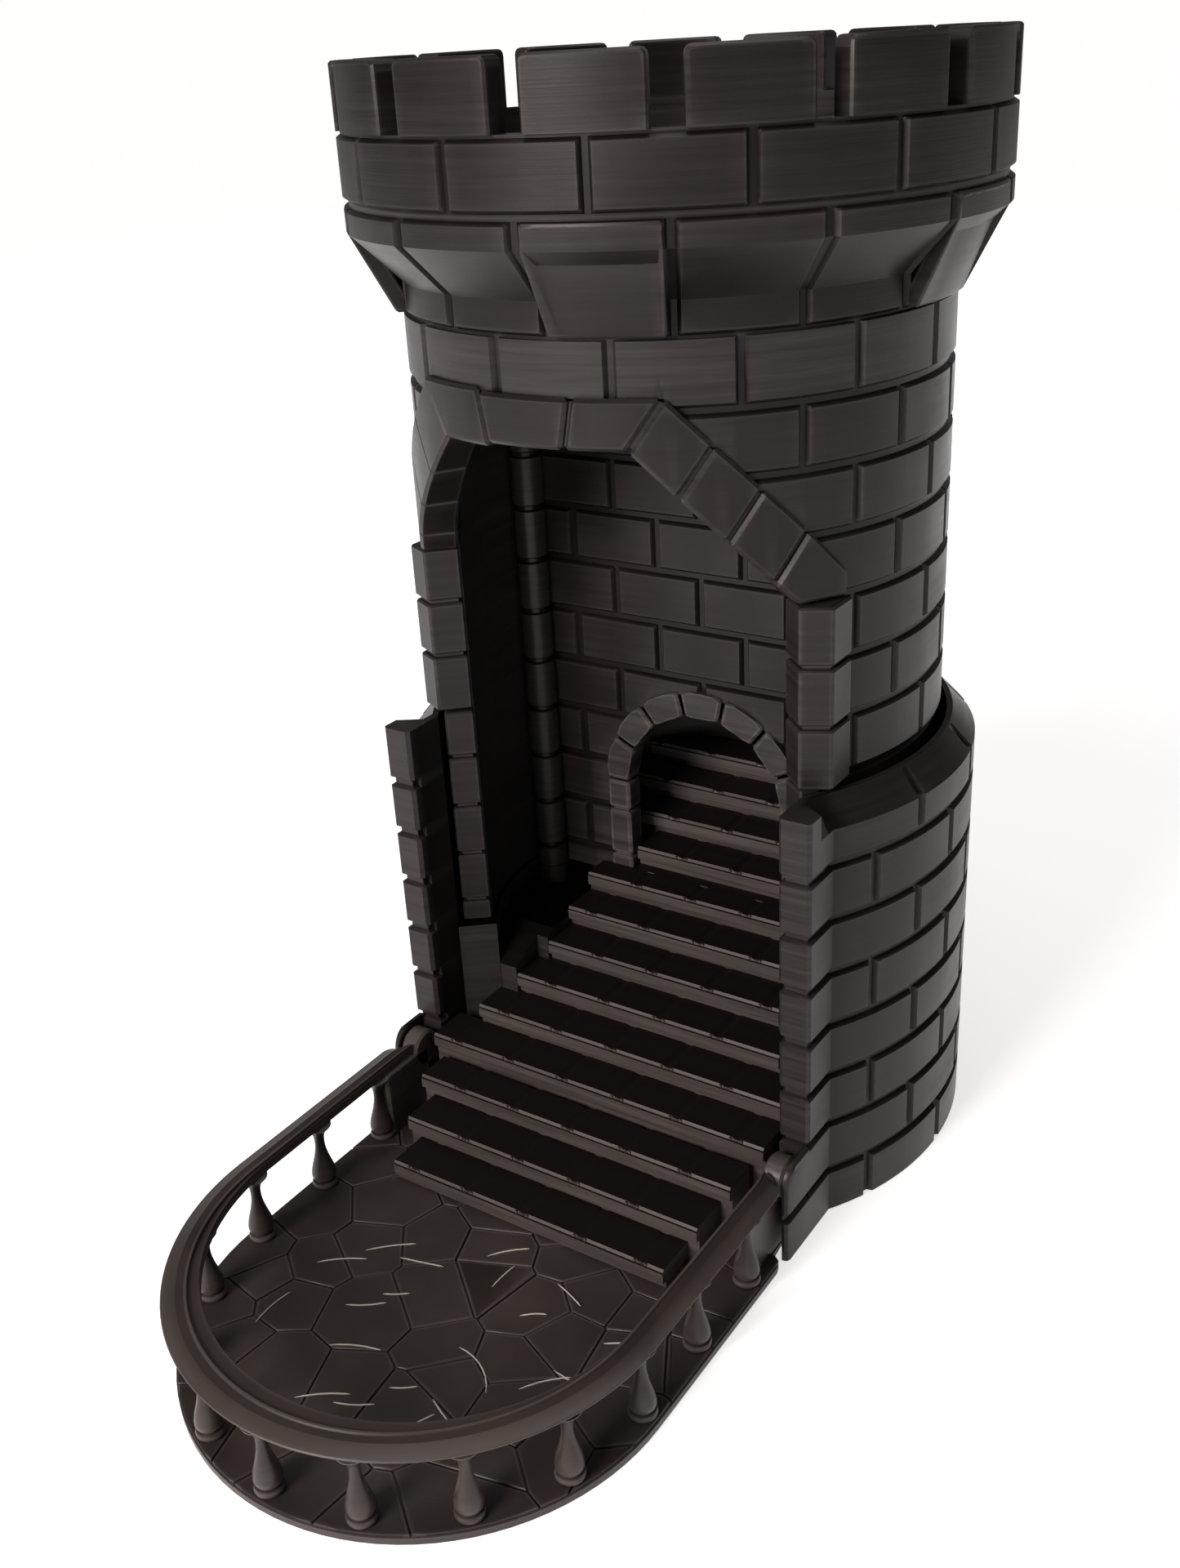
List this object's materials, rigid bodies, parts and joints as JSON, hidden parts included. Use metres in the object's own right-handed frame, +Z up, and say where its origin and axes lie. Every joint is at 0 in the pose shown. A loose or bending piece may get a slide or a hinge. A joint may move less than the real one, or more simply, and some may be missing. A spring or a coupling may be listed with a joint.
{
  "type": "dice tower",
  "caption": "Round castle-keep dice tower with arched doorway, inner stair, lift-out tower in a brick base and a hinged, balustraded round-ended tray.",
  "frame": {"origin": "on the underside of the base floor, at the axis of the round tower", "axes": "+Z up along the tower's axis, -Y towards the open tray, +X to the right seen from the tray"},
  "size_m": [0.1172, 0.2012, 0.2104],
  "materials": {
    "wall_plastic": "satin black printed plastic with fine layer lines",
    "plain_plastic": "matte black printed plastic",
    "floor_plastic": "satin black printed plastic, top layers with scuffs",
    "rail_plastic": "satin black printed plastic with fine strings"
  },
  "bodies": {
    "base": {"base_floor": "plain_plastic", "base_shell": "wall_plastic", "base_coping": "wall_plastic", "cheek_left": "wall_plastic", "cheek_right": "wall_plastic", "hinge_ear_left": "wall_plastic", "hinge_ear_right": "wall_plastic", "seat_ring": "plain_plastic", "base_stairs": "floor_plastic", "stair_flank_left": "plain_plastic", "stair_flank_right": "plain_plastic", "column_stub_left": "wall_plastic", "column_stub_right": "wall_plastic", "hinge_pin_left": "plain_plastic", "hinge_pin_right": "plain_plastic"},
    "tray": {"tray_plate": "rail_plastic", "tray_flagstones": "floor_plastic", "tray_steps": "floor_plastic", "tray_balusters": "rail_plastic", "tray_handrail": "rail_plastic", "tray_knuckle_left": "rail_plastic", "tray_knuckle_right": "rail_plastic"},
    "tower": {"tower_body": "wall_plastic", "door_arch": "wall_plastic", "door_quoins_left": "wall_plastic", "door_quoins_right": "wall_plastic", "partition_wall": "wall_plastic", "inner_arch": "wall_plastic", "corner_column_left": "wall_plastic", "corner_column_right": "wall_plastic", "upper_ramp": "plain_plastic", "rear_baffle": "plain_plastic", "partition_baffle": "plain_plastic", "corbel_ring": "wall_plastic", "corbels": "wall_plastic", "crown_ring": "wall_plastic", "merlons": "wall_plastic"}
  },
  "joints": [
    {"name": "tray_hinge", "type": "hinge", "parent": "base", "child": "tray", "pos_m": [0, -0.0445, 0.0162], "axis": [-1, 0, 0], "range_deg": [0, 90]},
    {"name": "tower_lift", "type": "slide", "parent": "base", "child": "tower", "axis": [0, 0, 1], "range_m": [0, 0.055]}
  ]
}
